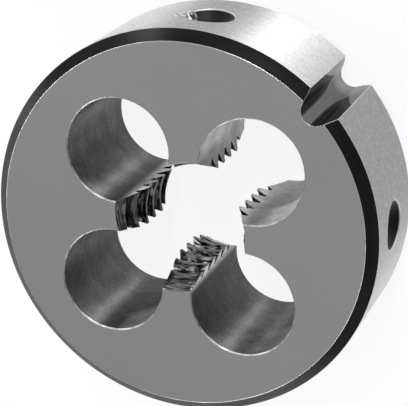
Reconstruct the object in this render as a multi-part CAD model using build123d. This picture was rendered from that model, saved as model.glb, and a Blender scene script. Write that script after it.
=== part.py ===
from build123d import *
import math
import os

# Round threading die for M8 x 1.25 right-hand bolts: one piece of hardened steel.
# The back face lies on the XY plane with its centre at the origin, +Z points out of the
# front face, and the adjusting notch faces -Y. Millimetres and degrees.

# Disc
body_diameter = 25.0
body_thickness = 9.0
rim_chamfer_radial = 0.7
rim_chamfer_axial = 0.6

# Thread: basic ISO metric profile, cut in the bore
thread_diameter = 8.0
thread_pitch = 1.25
thread_flank_angle = 30.0
groove_height_at_x_axis = 0.43  # where the middle of a groove crosses the +X direction

# Lead: the tapered mouth at each end, where the first teeth start the cut
lead_mouth_radius = 4.33
lead_length = 2.75
lead_relief = 0.6  # each land's taper is turned about an axis this far to its heel side

# Clearance holes, which leave the four lands and let the chips out
clearance_hole_count = 4
clearance_hole_radius = 3.36
clearance_circle_radius = 6.13
clearance_clocking = -2.5  # the holes sit this far round from the notch
clearance_edge_break = 0.08

# Adjusting notch: a groove with a round root down the whole height of the rim
notch_direction = -90.0
notch_mouth_width = 2.44
notch_side_angle = 25.0
notch_root_radius = 0.85

# Conical seats in the rim for the die stock's screws: a pair beside the notch, a pair opposite
seat_mouth_radius = 1.7
seat_cone_angle = 90.0
seat_height = 4.7
seat_angle_from_notch = 43.5

cut_margin = 1.0  # how far a cutter runs past the faces that it opens

body_radius = body_diameter / 2
thread_radius = thread_diameter / 2
flank_slope = math.tan(math.radians(thread_flank_angle))
root_flat = thread_pitch / 8
crest_flat = thread_pitch / 4
bore_radius = thread_radius - (thread_pitch - root_flat - crest_flat) / 2 / flank_slope
land_spacing = 360 / clearance_hole_count
first_hole_angle = notch_direction + clearance_clocking
first_land_angle = first_hole_angle + land_spacing / 2


def polar(radius, angle):
    """The point at this radius and angle on the XY plane."""
    return Vector(radius, 0, 0).rotate(Axis.Z, angle)


def turned_disc():
    """The disc with its rim chamfers and the plain bore, turned about Z."""
    with BuildPart() as disc:
        with BuildSketch(Plane.XZ):
            with BuildLine():
                Polyline(
                    (bore_radius, 0),
                    (body_radius - rim_chamfer_radial, 0),
                    (body_radius, rim_chamfer_axial),
                    (body_radius, body_thickness - rim_chamfer_axial),
                    (body_radius - rim_chamfer_radial, body_thickness),
                    (bore_radius, body_thickness),
                    close=True,
                )
            make_face()
        revolve(axis=Axis.Z)
    return disc.part


def land_sector(land_angle):
    """A wedge that holds one land and half of the clearance hole on each side of it."""
    with BuildPart() as sector:
        with BuildSketch(Plane.XY.offset(-cut_margin)):
            with BuildLine():
                Polyline(
                    (0, 0),
                    polar(body_radius, land_angle - land_spacing / 2),
                    polar(body_radius, land_angle + land_spacing / 2),
                    close=True,
                )
            make_face()
        extrude(amount=body_thickness + 2 * cut_margin)
    return sector.part


def front_lead(land_angle):
    """The cutter for one land's front taper, backed off from its cutting edge to its heel."""
    widening = (lead_mouth_radius - bore_radius) / lead_length * cut_margin
    taper = Cone(
        bottom_radius=bore_radius - widening,
        top_radius=lead_mouth_radius + widening,
        height=lead_length + 2 * cut_margin,
        align=(Align.CENTER, Align.CENTER, Align.MIN),
    )
    foot = polar(lead_relief, land_angle - 90)
    foot.Z = body_thickness - lead_length - cut_margin
    return Pos(foot) * taper & land_sector(land_angle)


def back_lead(land_angle):
    """The same taper at the back face: the front one turned over about the land's own radius."""
    land_line = Axis((0, 0, body_thickness / 2), polar(1, land_angle))
    return front_lead(land_angle).rotate(land_line, 180)


def clearance_hole():
    """The cutter for one clearance hole on the Z axis, with an edge break at both faces."""
    broken_radius = clearance_hole_radius + clearance_edge_break
    with BuildPart() as hole:
        with BuildSketch(Plane.XZ):
            with BuildLine():
                Polyline(
                    (0, -cut_margin),
                    (broken_radius, -cut_margin),
                    (broken_radius, 0),
                    (clearance_hole_radius, clearance_edge_break),
                    (clearance_hole_radius, body_thickness - clearance_edge_break),
                    (broken_radius, body_thickness),
                    (broken_radius, body_thickness + cut_margin),
                    (0, body_thickness + cut_margin),
                    close=True,
                )
            make_face()
        revolve(axis=Axis.Z)
    return hole.part


def groove_turn():
    """The cutter for one turn of the thread groove, from the first clearance hole round to it."""
    inner_radius = bore_radius - root_flat
    root_half = root_flat / 2
    inner_half = root_half + (thread_radius - inner_radius) * flank_slope
    with BuildPart() as turn:
        with BuildLine():
            Helix(pitch=thread_pitch, height=thread_pitch, radius=thread_radius)
        with BuildSketch(Plane.XZ):
            with BuildLine():
                Polyline(
                    (inner_radius, -inner_half),
                    (thread_radius, -root_half),
                    (thread_radius, root_half),
                    (inner_radius, inner_half),
                    close=True,
                )
            make_face()
        sweep(is_frenet=True)
    start_height = groove_height_at_x_axis + thread_pitch * first_hole_angle / 360
    return Pos(Z=start_height) * Rot(Z=first_hole_angle) * turn.part


def adjusting_notch():
    """The cutter for the notch: a round root whose straight sides open out through the rim."""
    side_slope = math.tan(math.radians(notch_side_angle))
    side_run = notch_root_radius / math.cos(math.radians(notch_side_angle))
    mouth_half = notch_mouth_width / 2
    mouth_height = math.sqrt(body_radius**2 - mouth_half**2)
    root_height = mouth_height - (mouth_half - side_run) / side_slope
    tangent_half = notch_root_radius * math.cos(math.radians(notch_side_angle))
    tangent_height = root_height - notch_root_radius * math.sin(math.radians(notch_side_angle))
    outer_height = body_radius + cut_margin
    outer_half = mouth_half + (outer_height - mouth_height) * side_slope
    floor_plane = Plane(
        origin=(0, 0, -cut_margin), x_dir=polar(1, notch_direction - 90), z_dir=(0, 0, 1)
    )
    with BuildPart() as notch:
        with BuildSketch(floor_plane):
            with BuildLine():
                Polyline(
                    (tangent_half, tangent_height),
                    (outer_half, outer_height),
                    (-outer_half, outer_height),
                    (-tangent_half, tangent_height),
                    close=True,
                )
            make_face()
            with Locations((0, root_height)):
                Circle(notch_root_radius)
        extrude(amount=body_thickness + 2 * cut_margin)
    return notch.part


def screw_seat(angle):
    """The cutter for one conical seat, with its point inward from the rim at this angle."""
    cone_slope = math.tan(math.radians(seat_cone_angle / 2))
    seat_depth = seat_mouth_radius / cone_slope
    length = seat_depth + cut_margin
    cone = Cone(
        bottom_radius=0,
        top_radius=length * cone_slope,
        height=length,
        align=(Align.CENTER, Align.CENTER, Align.MIN),
    )
    point = polar(body_radius - seat_depth, angle)
    point.Z = seat_height
    return Plane(origin=point, z_dir=polar(1, angle)).location * cone


def threading_die():
    """The whole die, in the order of its making: turned, drilled, threaded, then milled."""
    die = turned_disc()
    for index in range(clearance_hole_count):
        land_angle = first_land_angle + index * land_spacing
        die -= front_lead(land_angle)
        die -= back_lead(land_angle)
    for index in range(clearance_hole_count):
        centre = polar(clearance_circle_radius, first_hole_angle + index * land_spacing)
        die -= Pos(centre) * clearance_hole()
    groove = groove_turn()
    turn_count = math.ceil(body_thickness / thread_pitch) + 1
    for index in range(-1, turn_count):
        die -= Pos(Z=index * thread_pitch) * groove
    die -= adjusting_notch()
    for opposite in (0, 180):
        for side in (-1, 1):
            die -= screw_seat(notch_direction + opposite + side * seat_angle_from_notch)
    return die


os.makedirs("parts", exist_ok=True)
export_step(threading_die(), "parts/threading_die.step")
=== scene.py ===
import math

import bmesh
import bpy
from mathutils import Matrix, Vector


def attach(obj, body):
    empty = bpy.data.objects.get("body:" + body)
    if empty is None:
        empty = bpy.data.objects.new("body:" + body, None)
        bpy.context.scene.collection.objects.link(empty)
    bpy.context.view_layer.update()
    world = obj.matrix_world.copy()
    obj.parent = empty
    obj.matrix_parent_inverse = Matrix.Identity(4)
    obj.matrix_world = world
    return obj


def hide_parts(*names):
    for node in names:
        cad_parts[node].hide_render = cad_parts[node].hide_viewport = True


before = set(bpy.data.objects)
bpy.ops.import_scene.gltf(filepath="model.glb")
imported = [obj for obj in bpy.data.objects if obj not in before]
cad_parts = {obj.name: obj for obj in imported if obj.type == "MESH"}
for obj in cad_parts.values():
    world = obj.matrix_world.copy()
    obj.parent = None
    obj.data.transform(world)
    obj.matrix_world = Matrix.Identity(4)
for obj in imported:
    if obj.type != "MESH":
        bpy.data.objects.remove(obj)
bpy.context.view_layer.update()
MM = 0.001

# Camera: real places in the die's own frame
camera_place = Vector((2.33, -50.64, 101.32)) * MM
camera_target = Vector((0.19, -2.41, 9.0)) * MM
camera_roll = math.radians(-133.5)
focal_length_mm = 150.5
sensor_width_mm = 36.0

# The die's sizes, as its solid has them
body_radius = 12.5 * MM
thickness = 9.0 * MM
chamfer_radial = 0.7 * MM
chamfer_axial = 0.6 * MM
face_radius = body_radius - chamfer_radial
hole_radius = 3.36 * MM
hole_edge_break = 0.08 * MM
hole_circle_radius = 6.13 * MM
hole_angles = [math.radians(a) for a in (-92.5, -2.5, 87.5, 177.5)]
seat_angles = [math.radians(a) for a in (-133.5, -46.5, 46.5, 133.5)]
seat_height = 4.7 * MM
seat_radius = 1.7 * MM
root_radius = 4.0 * MM
thread_pitch = 1.25 * MM
notch_angle = math.radians(-90.0)
notch_centre = Vector((0, -11.8353)) * MM
notch_root_half = 0.7704 * MM

# How the mesh is made finer
rim_cuts = 120  # planes through the axis that divide the rim
hole_cuts = 48  # the same for each clearance hole
least_edge = 0.015 * MM  # a cut that passes this near a point goes through the point
facet_error = 0.03 * MM  # the most that the mesh's facets stray from the true surfaces
edge_round = 0.016 * MM
sliver = 0.001 * MM  # points nearer than this are merged after the rounding
sharp_angle = math.radians(32)

# A bright patch at one seat, and a painted highlight along the edges that meet the rim
bright_patch_angle = math.radians(-39.5)
edge_highlight_width = 0.09 * MM  # width of the painted highlight where the seats and the notch meet the rim

# Floor and light
floor_size = 4.0
floor_gap = 0.03 * MM  # so that the floor and the die's underside don't share a plane
floor_grey = 0.9
floor_white_share = 0.88  # of what the camera and reflections see; the rest keeps the shadow
lamp_distance = 0.6
room_level = 0.12

# Lamps: azimuth, elevation, width and height as seen from the die, in degrees, and brightness
studio_lamps = {
    "key": (-53, 51, 8, 17, 30.0),
    "left_softbox": (27, 33, 70, 11, 8.0),
    "right_softbox": (170, 42, 26, 30, 2.6),
    "back_softbox": (92, 66, 60, 42, 0.55),
    "top_softbox": (-36, 80, 20, 14, 2.0),
    "low_front_strip": (-66, 8, 38, 14, 5.4),
    "low_left_strip": (132, 15, 34, 12, 11.5),
}

# How deep the seats and the notch reach in from the rim, and half the notch's width
cut_depth = 1.8 * MM
notch_half_width = 1.5 * MM

# Surfaces, in the order of the material slots
FACE, RIM, CHAMFER, WALL, BREAK, THREAD, LEAD, NOTCH, SEAT, EDGE = range(10)


def set_camera():
    data = bpy.data.cameras.new("camera")
    data.sensor_fit = "HORIZONTAL"
    data.sensor_width = sensor_width_mm
    data.lens = focal_length_mm
    data.clip_start = 0.005
    data.clip_end = 10.0
    camera = bpy.data.objects.new("camera", data)
    view = (camera_target - camera_place).to_track_quat("-Z", "Y")
    turn = view.to_matrix().to_4x4() @ Matrix.Rotation(camera_roll, 4, "Z")
    camera.matrix_world = Matrix.Translation(camera_place) @ turn
    bpy.context.scene.collection.objects.link(camera)
    bpy.context.scene.camera = camera


def polar(radius, angle, height=0.0):
    return Vector((radius * math.cos(angle), radius * math.sin(angle), height))


def flat(point):
    return Vector((point.x, point.y))


hole_centres = [flat(polar(hole_circle_radius, a)) for a in hole_angles]


def nearest_hole(point):
    return min(hole_centres, key=lambda c: (flat(point) - c).length)


def on_seat(point):
    """True where a point lies on one of the seats' 90 degree cones."""
    for angle in seat_angles:
        out = polar(1.0, angle)
        depth = point.dot(out) - (body_radius - seat_radius)
        foot = out * point.dot(out) + Vector((0, 0, seat_height))
        if depth > -facet_error and abs((point - foot).length - depth) < facet_error:
            return True
    return False


def surface_of(face):
    """Which of the die's surfaces a face of its mesh belongs to."""
    centre = face.calc_center_median()
    normal = face.normal
    radius = flat(centre).length
    upright = abs(normal.z) < 0.02
    if abs(normal.z) > 0.9999 and min(centre.z, thickness - centre.z) < 1e-6:
        return FACE
    if upright and radius > body_radius - facet_error:
        return RIM
    if radius > face_radius - 0.05 * MM and 0.74 < abs(normal.z) < 0.78:
        return CHAMFER
    if radius > body_radius - cut_depth and on_seat(centre):
        return SEAT
    by_notch = centre.y < 0 and abs(centre.x) < notch_half_width
    if upright and radius > body_radius - cut_depth and by_notch:
        return NOTCH
    from_hole = (flat(centre) - nearest_hole(centre)).length
    if upright and abs(from_hole - hole_radius) < facet_error:
        return WALL
    if 0.69 < abs(normal.z) < 0.73 and hole_radius < from_hole < hole_radius + hole_edge_break:
        return BREAK
    if 0.3 < abs(normal.z) < 0.4:
        return LEAD
    return THREAD


def rim_radius(height):
    """The disc's radius at a height, on its rim or on a chamfer."""
    edge = min(height, thickness - height)
    return body_radius - chamfer_radial * max(0.0, 1 - edge / chamfer_axial)


def wall_radius(height):
    """A clearance hole's radius at a height, with its broken edges."""
    edge = min(height, thickness - height)
    return hole_radius + max(0.0, hole_edge_break - edge)


def divide_round(bm, faces, centre, radius_at, cuts):
    """Cuts round faces finer by planes through their axis; the new points go out to the circle."""
    edges = {edge for face in faces for edge in face.edges}
    points = {vert for face in faces for vert in face.verts}
    geometry = [*faces, *edges, *points]
    for index in range(cuts):
        angle = math.pi * index / cuts
        cut = bmesh.ops.bisect_plane(
            bm,
            geom=geometry,
            dist=least_edge,
            plane_co=(centre.x, centre.y, 0),
            plane_no=(-math.sin(angle), math.cos(angle), 0),
        )
        geometry = cut["geom"]
        for vert in cut["geom_cut"]:
            if isinstance(vert, bmesh.types.BMVert):
                arm = flat(vert.co) - centre
                radius = radius_at(vert.co.z)
                if abs(arm.length - radius) < facet_error:
                    arm *= radius / arm.length
                    vert.co.x, vert.co.y = centre.x + arm.x, centre.y + arm.y


def break_edges(bm):
    """Rounds the edges that catch the light: round the rim, the notch and the seats."""
    chosen = []
    for edge in bm.edges:
        kinds = {face.material_index for face in edge.link_faces}
        if len(kinds) == 2 and kinds != {WALL, BREAK} and kinds & {CHAMFER, NOTCH, SEAT}:
            chosen.append(edge)
    rounded = bmesh.ops.bevel(
        bm,
        geom=chosen,
        offset=edge_round,
        offset_type="OFFSET",
        segments=2,
        profile=0.5,
        affect="EDGES",
        material=-1,
        clamp_overlap=True,
    )
    for face in rounded["faces"]:
        face.material_index = EDGE
    bmesh.ops.remove_doubles(bm, verts=bm.verts, dist=sliver)


def die_body():
    """The die's own mesh, merged, divided finer where it is round, its edges broken."""
    bm = bmesh.new()
    bm.from_mesh(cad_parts["threading_die"].data)
    bmesh.ops.remove_doubles(bm, verts=bm.verts, dist=1e-7)
    bmesh.ops.dissolve_limit(
        bm, angle_limit=math.radians(0.05), verts=bm.verts, edges=bm.edges, delimit=set()
    )
    bm.normal_update()
    for face in bm.faces:
        face.material_index = surface_of(face)
    rim = [f for f in bm.faces if f.material_index in (RIM, CHAMFER)]
    divide_round(bm, rim, Vector((0, 0)), rim_radius, rim_cuts)
    for centre in hole_centres:
        wall = [
            f
            for f in bm.faces
            if f.material_index in (WALL, BREAK) and nearest_hole(f.calc_center_median()) == centre
        ]
        divide_round(bm, wall, centre, wall_radius, hole_cuts)
    break_edges(bm)
    return bm


def nearest_seat(point):
    return min(seat_angles, key=lambda a: (polar(body_radius, a, seat_height) - point).length)


def true_normal(face, point):
    """The normal at a point of the surface that a face stands for, rather than the facet's own."""
    kind = face.material_index
    up = Vector((0, 0, math.copysign(1, face.normal.z)))
    out = Vector((point.x, point.y, 0)).normalized()
    if kind == FACE:
        return up
    if kind == RIM:
        return out
    if kind == CHAMFER:
        return (out * chamfer_axial + up * chamfer_radial).normalized()
    if kind in (WALL, BREAK):
        inward = (nearest_hole(point) - flat(point)).normalized().to_3d()
        return inward if kind == WALL else (inward + up).normalized()
    if kind == NOTCH and abs(face.calc_center_median().x) < notch_root_half:
        return (notch_centre - flat(point)).normalized().to_3d()
    if kind == SEAT:
        axis = polar(1.0, nearest_seat(point))
        foot = axis * point.dot(axis) + Vector((0, 0, seat_height))
        return (axis + (foot - point).normalized()).normalized()
    return face.normal


def corner_normals(bm):
    """The shading normal at every corner; a zero one leaves it to the mesh's smoothing."""
    normals = []
    for face in bm.faces:
        for loop in face.loops:
            if face.material_index in (THREAD, LEAD):
                normal = Vector((0, 0, 0))
            elif face.material_index == EDGE:
                around = loop.vert.link_faces
                beside = [f for f in around if f.material_index != EDGE] or around
                total = sum((true_normal(f, loop.vert.co) for f in beside), Vector((0, 0, 0)))
                normal = total.normalized()
            else:
                normal = true_normal(face, loop.vert.co)
            normals.append(normal)
    return normals


def turn_from(start, across, along):
    """The angle of a point from a seam's far side, where these are its two coordinates."""
    return math.remainder(math.atan2(across, along) - start, math.tau)


def cut_marks(bm):
    """A UV map in metres: U runs the way the tool ran over each surface, V across it.

    Its seams lie where no metal is: on the holes' open sides and in the notch.
    """
    layer = bm.loops.layers.uv.new("cut")
    for face in bm.faces:
        kind = face.material_index
        middle = face.calc_center_median()
        centre, radius, start = Vector((0, 0)), body_radius, notch_angle + math.pi
        if kind in (WALL, BREAK):
            centre, radius = nearest_hole(middle), hole_radius
            start = math.atan2(centre.y, centre.x)
        elif kind in (THREAD, LEAD):
            radius = root_radius
        seat = nearest_seat(middle)
        side = polar(1.0, seat + math.pi / 2)
        for loop in face.loops:
            point = loop.vert.co
            if kind == FACE:
                uv = (point.x, point.y)
            elif kind == NOTCH:
                uv = (point.z, point.x + point.y)
            elif kind == SEAT:
                turn = turn_from(0, point.dot(side), seat_height - point.z)
                uv = (seat_radius * turn, point.dot(polar(1.0, seat)))
            else:
                arm = flat(point) - centre
                turn = turn_from(start, arm.y, arm.x)
                across = arm.length if kind == CHAMFER else point.z
                if kind == THREAD:
                    across -= thread_pitch * turn / math.tau
                uv = (radius * turn, across)
            loop[layer].uv = uv


# Finishes -------------------------------------------------------------------


class Finish:
    """A steel finish whose patterns lie along the tool's path, in cycles per millimetre."""

    def __init__(self, name, roughness, anisotropic=0.0):
        self.material = bpy.data.materials.new(name)
        self.material.use_nodes = True
        self.tree = self.material.node_tree
        self.shader = self.tree.nodes["Principled BSDF"]
        self.shader.inputs["Metallic"].default_value = 1.0
        self.shader.inputs["Roughness"].default_value = roughness
        self.path = self.tree.nodes.new("ShaderNodeUVMap")
        self.path.uv_map = "cut"
        if anisotropic:
            self.shader.inputs["Anisotropic"].default_value = anisotropic
            self.shader.inputs["Anisotropic Rotation"].default_value = 0.25
            tangent = self.tree.nodes.new("ShaderNodeTangent")
            tangent.direction_type = "UV_MAP"
            tangent.uv_map = "cut"
            self.link(tangent.outputs["Tangent"], self.shader.inputs["Tangent"])

    def link(self, source, target):
        self.tree.links.new(source, target)

    def grain(self, along, across, detail=2.0, low=0.3, high=0.7, place=(0, 0)):
        """Noise from 0 to 1, stretched to these cycles per millimetre along and across the path."""
        mapping = self.tree.nodes.new("ShaderNodeMapping")
        mapping.inputs["Scale"].default_value = (along / MM, across / MM, 1)
        mapping.inputs["Location"].default_value = (place[0], place[1], 0)
        self.link(self.path.outputs["UV"], mapping.inputs["Vector"])
        noise = self.tree.nodes.new("ShaderNodeTexNoise")
        noise.inputs["Scale"].default_value = 1.0
        noise.inputs["Detail"].default_value = detail
        self.link(mapping.outputs["Vector"], noise.inputs["Vector"])
        return self.ranged(noise.outputs["Fac"], low, high, 0.0, 1.0)

    def ranged(self, value, low, high, start, end):
        node = self.tree.nodes.new("ShaderNodeMapRange")
        node.clamp = True
        node.inputs["From Min"].default_value = low
        node.inputs["From Max"].default_value = high
        node.inputs["To Min"].default_value = start
        node.inputs["To Max"].default_value = end
        self.link(value, node.inputs["Value"])
        return node.outputs["Result"]

    def combine(self, operation, first, second):
        node = self.tree.nodes.new("ShaderNodeMath")
        node.operation = operation
        for socket, value in zip(node.inputs, (first, second)):
            if isinstance(value, (int, float)):
                socket.default_value = value
            else:
                self.link(value, socket)
        return node.outputs["Value"]

    def colour(self, grey, *patterns):
        """The base grey times 1 plus each pattern's swing: (pattern, swing)."""
        value = grey
        for pattern, swing in patterns:
            factor = self.ranged(pattern, 0, 1, 1 - swing, 1 + swing)
            value = self.combine("MULTIPLY", factor, value)
        self.link(value, self.shader.inputs["Base Color"])

    def relief(self, *patterns):
        """Bumps of the given heights in millimetres: (pattern, height)."""
        normal = None
        for pattern, height in patterns:
            bump = self.tree.nodes.new("ShaderNodeBump")
            bump.inputs["Strength"].default_value = 1.0
            bump.inputs["Distance"].default_value = height * MM
            self.link(pattern, bump.inputs["Height"])
            if normal:
                self.link(normal, bump.inputs["Normal"])
            normal = bump.outputs["Normal"]
        self.link(normal, self.shader.inputs["Normal"])

    def mixed(self, share, first, second):
        """The first value where the share is 0, the second where it is 1."""
        node = self.tree.nodes.new("ShaderNodeMix")
        self.link(share, node.inputs["Factor"])
        for socket, value in zip(("A", "B"), (first, second)):
            if isinstance(value, (int, float)):
                node.inputs[socket].default_value = value
            else:
                self.link(value, node.inputs[socket])
        return node.outputs["Result"]

    def place(self):
        """X, Y and Z of the point in the die's own frame, in metres."""
        place = self.tree.nodes.new("ShaderNodeTexCoord")
        split = self.tree.nodes.new("ShaderNodeSeparateXYZ")
        self.link(place.outputs["Object"], split.inputs["Vector"])
        return split.outputs

    def from_axis(self):
        squares = [self.combine("MULTIPLY", axis, axis) for axis in self.place()[:2]]
        return self.combine("SQRT", self.combine("ADD", *squares), 0)

    def rimmed(self, grey, bright):
        """The grey, with a thin painted highlight where the surface runs out into the rim."""
        border = self.ranged(self.from_axis(), body_radius - edge_highlight_width, body_radius, 0, 1)
        return self.mixed(self.ranged(border, 0, 0.3, 0, 1), grey, bright)

    def from_face(self):
        """How far the point is from the nearer of the two faces, in metres."""
        height = self.combine("SUBTRACT", self.place()[2], thickness / 2)
        from_middle = self.combine("ABSOLUTE", height, 0)
        return self.combine("SUBTRACT", thickness / 2, from_middle)

    def bright_patch(self, grey):
        """A ragged bright patch, up to white, at the edge of one seat."""
        place = self.tree.nodes.new("ShaderNodeTexCoord")
        arm = self.tree.nodes.new("ShaderNodeVectorMath")
        arm.operation = "DISTANCE"
        arm.inputs[1].default_value = polar(body_radius, bright_patch_angle, seat_height)
        self.link(place.outputs["Object"], arm.inputs[0])
        within = self.ranged(arm.outputs["Value"], 0.5 * MM, 0.95 * MM, 1, 0)
        ragged = self.combine("MULTIPLY", within, self.grain(1.5, 3, 2, 0.3, 0.45, (6, 2)))
        patch_tone = self.ranged(self.grain(3.5, 3, 2, 0.46, 0.54, (3, 3)), 0, 1, 0.05, 1.0)
        return self.mixed(ragged, grey, patch_tone)


def ground_face():
    finish = Finish("ground_face", 0.32)
    lines = finish.grain(0.5, 14, 3)
    cloud = finish.grain(0.12, 0.16, 1)
    finish.colour(0.345, (lines, 0.02), (cloud, 0.015))
    finish.relief((lines, 0.0004))
    return finish.material


def ground_rim():
    finish = Finish("ground_rim", 0.44, 1.0)
    mottle = finish.grain(1.5, 1.8, 3)
    pale = finish.grain(4, 5, 2, 0.55, 0.7, (4, 1))
    specks = finish.grain(6, 7, 2, 0.6, 0.72, (9, 4))
    # The rim is painted paler than the face, 0.53 grey against 0.345, though both are the same
    # ground steel: painted light.
    finish.colour(finish.bright_patch(0.53), (mottle, 0.07), (pale, 0.12), (specks, -0.25))
    finish.relief((mottle, 0.0008))
    return finish.material


def turned_chamfer():
    finish = Finish("turned_chamfer", 0.2)
    finish.shader.inputs["Specular Tint"].default_value = (0.65, 0.65, 0.65, 1)
    lines = finish.grain(0.15, 9, 2)
    cloud = finish.grain(0.25, 1.0, 2)
    finish.colour(0.078, (lines, 0.15), (cloud, 0.2))
    finish.relief((lines, 0.0008))
    return finish.material


def drilled_wall():
    finish = Finish("drilled_wall", 0.44, 1.0)
    waves = finish.grain(1.4, 2.3, 2)
    rings = finish.grain(0.9, 4.5, 2, place=(7, 5))
    stains = finish.grain(0.6, 0.8, 3, place=(5, 1))
    border = finish.grain(2.0, 3.0, 3, 0.3, 0.7, (1, 6))
    specks = finish.grain(5, 6, 2, 0.5, 0.66, (8, 3))
    # Painted reflection: the walls near the lands, except on the notch's side, are painted paler,
    # up to 0.95 grey, and the hole by the notch up to 0.38 grey, for their bright reflections.
    by_notch = finish.ranged(finish.place()[1], -3.4 * MM, -2.8 * MM, 0.38, 0)
    elsewhere = finish.ranged(finish.place()[1], -3.0 * MM, -2.4 * MM, 0, 1)
    by_land = finish.ranged(finish.from_axis(), 3.8 * MM, 4.5 * MM, 1, 0)
    painted_reflection = finish.combine("MAXIMUM", finish.combine("MULTIPLY", by_land, elsewhere), by_notch)
    grey = finish.ranged(painted_reflection, 0, 1, 0.167, 0.95)
    finish.colour(grey, (stains, 0.2), (border, 0.12), (specks, -0.12))
    finish.relief((waves, 0.006), (rings, 0.012))
    return finish.material


def broken_edge():
    finish = Finish("broken_edge", 0.42)
    nicks = finish.grain(2, 3, 2)
    # The broken edge is painted far paler than the wall: partly a polished edge, partly a painted
    # highlight round the hole's mouth.
    finish.colour(0.58, (nicks, 0.4))
    return finish.material


def rounded_edge():
    finish = Finish("rounded_edge", 0.3)
    nicks = finish.grain(1, 3, 2)
    # The rounded edges are painted paler than the surfaces beside them: partly polished edges,
    # partly a painted highlight.
    finish.colour(0.75, (nicks, 0.25))
    return finish.material


def cut_thread():
    finish = Finish("cut_thread", 0.35)
    tears = finish.grain(1.4, 12, 3, 0.47, 0.58)
    patches = finish.grain(1.5, 2.0, 2, 0.35, 0.65, (2, 7))
    # Painted light and shade: the thread is painted lighter towards -X and +Y, and darker on the
    # notch's side.
    across = finish.ranged(finish.place()[0], -2.0 * MM, 0, 1.0, 0.35)
    along = finish.ranged(finish.place()[1], -1.0 * MM, 0.5 * MM, 0.2, 1.0)
    painted_side_shading = finish.combine("MULTIPLY", across, along)
    grey = finish.combine("MULTIPLY", finish.ranged(tears, 0, 1, 0.012, 0.3), painted_side_shading)
    finish.colour(grey, (patches, 0.7))
    finish.relief((tears, 0.006))
    return finish.material


def cut_lead():
    finish = Finish("cut_lead", 0.35)
    tears = finish.grain(1.5, 9, 3, 0.4, 0.6)
    patches = finish.grain(1.0, 2.5, 2, place=(4, 1))
    # Painted shade and light: the lead is painted darker deeper into the bore, away from the faces,
    # and lighter towards -X, on its land.
    grey = finish.ranged(finish.from_face(), 0.5 * MM, 1.0 * MM, 0.3, 0.06)
    painted_side_shading = finish.ranged(finish.place()[0], -2.0 * MM, 0, 2.2, 1.0)
    painted_lit_land = finish.ranged(finish.place()[0], -2.0 * MM, 0, 0.24, 0)
    grey = finish.combine("MAXIMUM", finish.combine("MULTIPLY", grey, painted_side_shading), painted_lit_land)
    finish.colour(grey, (tears, 0.8), (patches, 0.3))
    finish.relief((tears, 0.004))
    return finish.material


def milled_notch():
    finish = Finish("milled_notch", 0.12)
    finish.shader.inputs["Specular Tint"].default_value = (0.6, 0.6, 0.6, 1)
    lines = finish.grain(0.4, 7, 3)
    grain = finish.grain(3, 3, 2)
    # Painted shade and reflection: the notch's sides are painted darker than its root, its back end
    # by the floor paler, and its edge at the rim carries a painted highlight.
    from_root = finish.combine("ABSOLUTE", finish.place()[0], 0)
    sides = finish.ranged(from_root, 0.4 * MM, 0.8 * MM, 0.15, 0.075)
    back_end = finish.ranged(finish.place()[2], 0.8 * MM, 3.2 * MM, 0.32, 0)
    grey = finish.combine("MAXIMUM", sides, back_end)
    finish.colour(finish.rimmed(grey, 0.5), (lines, 0.1), (grain, 0.08))
    finish.relief((lines, 0.0006), (grain, 0.0004))
    return finish.material


def drilled_seat():
    finish = Finish("drilled_seat", 0.45)
    rings = finish.grain(0.2, 7, 2)
    # Painted shade: the seat is painted near-black, 0.025 grey, for the shade in its recess; its
    # edge at the rim carries a painted highlight.
    finish.colour(finish.bright_patch(finish.rimmed(0.025, 0.6)), (rings, 0.25))
    finish.relief((rings, 0.002))
    return finish.material


def finishes():
    return [
        ground_face(),
        ground_rim(),
        turned_chamfer(),
        drilled_wall(),
        broken_edge(),
        cut_thread(),
        cut_lead(),
        milled_notch(),
        drilled_seat(),
        rounded_edge(),
    ]


def ground_die():
    """The finished die, with its shading normals and a finish on each surface."""
    body = die_body()
    cut_marks(body)
    for face in body.faces:
        face.smooth = True
    normals = corner_normals(body)
    mesh = bpy.data.meshes.new("die")
    body.to_mesh(mesh)
    body.free()
    mesh.set_sharp_from_angle(angle=sharp_angle)
    mesh.normals_split_custom_set(normals)
    for finish in finishes():
        mesh.materials.append(finish)
    die = bpy.data.objects.new("die", mesh)
    bpy.context.scene.collection.objects.link(die)
    return die


# Studio ---------------------------------------------------------------------


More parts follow.
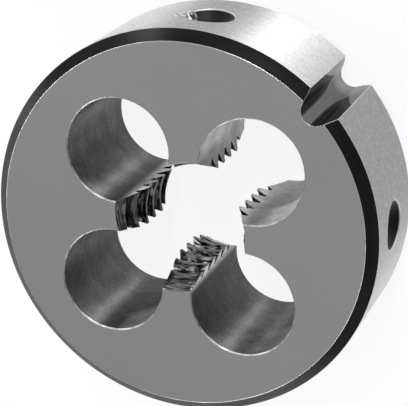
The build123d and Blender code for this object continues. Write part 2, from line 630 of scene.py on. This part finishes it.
def floor_paint():
    """Matt and pale, and mostly plain white to the camera and in the steel's reflections."""
    material = bpy.data.materials.new("floor")
    material.use_nodes = True
    tree = material.node_tree
    matt = tree.nodes["Principled BSDF"]
    matt.inputs["Base Color"].default_value = (floor_grey, floor_grey, floor_grey, 1)
    matt.inputs["Roughness"].default_value = 1.0
    matt.inputs["Specular IOR Level"].default_value = 0.0
    white = tree.nodes.new("ShaderNodeEmission")
    path = tree.nodes.new("ShaderNodeLightPath")
    seen = tree.nodes.new("ShaderNodeMath")
    seen.operation = "MAXIMUM"
    tree.links.new(path.outputs["Is Camera Ray"], seen.inputs[0])
    tree.links.new(path.outputs["Is Glossy Ray"], seen.inputs[1])
    share = tree.nodes.new("ShaderNodeMath")
    share.operation = "MULTIPLY"
    share.inputs[1].default_value = floor_white_share
    tree.links.new(seen.outputs[0], share.inputs[0])
    blend = tree.nodes.new("ShaderNodeMixShader")
    tree.links.new(share.outputs[0], blend.inputs[0])
    tree.links.new(matt.outputs[0], blend.inputs[1])
    tree.links.new(white.outputs[0], blend.inputs[2])
    tree.links.new(blend.outputs[0], tree.nodes["Material Output"].inputs["Surface"])
    return material


def lay_floor():
    bpy.ops.mesh.primitive_plane_add(size=floor_size, location=(0, 0, -floor_gap))
    floor = bpy.context.object
    floor.name = "floor"
    floor.data.materials.append(floor_paint())
    return floor


def light_studio():
    for name, (azimuth, elevation, width, height, brightness) in studio_lamps.items():
        data = bpy.data.lights.new(name, "AREA")
        data.shape = "RECTANGLE"
        data.size = 2 * lamp_distance * math.tan(math.radians(width / 2))
        data.size_y = 2 * lamp_distance * math.tan(math.radians(height / 2))
        data.energy = brightness * math.pi * data.size * data.size_y
        lamp = bpy.data.objects.new(name, data)
        rise = math.radians(elevation)
        place = polar(lamp_distance * math.cos(rise), math.radians(azimuth))
        place.z = lamp_distance * math.sin(rise)
        lamp.location = place
        lamp.rotation_euler = (-place).to_track_quat("-Z", "Y").to_euler()
        bpy.context.scene.collection.objects.link(lamp)
    world = bpy.data.worlds.new("studio")
    world.use_nodes = True
    room = world.node_tree.nodes["Background"]
    room.inputs["Color"].default_value = (1, 1, 1, 1)
    room.inputs["Strength"].default_value = room_level
    bpy.context.scene.world = world


set_camera()
die = ground_die()
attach(die, "root")
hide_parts("threading_die")
lay_floor()
light_studio()
bpy.context.scene.view_settings.view_transform = "Standard"
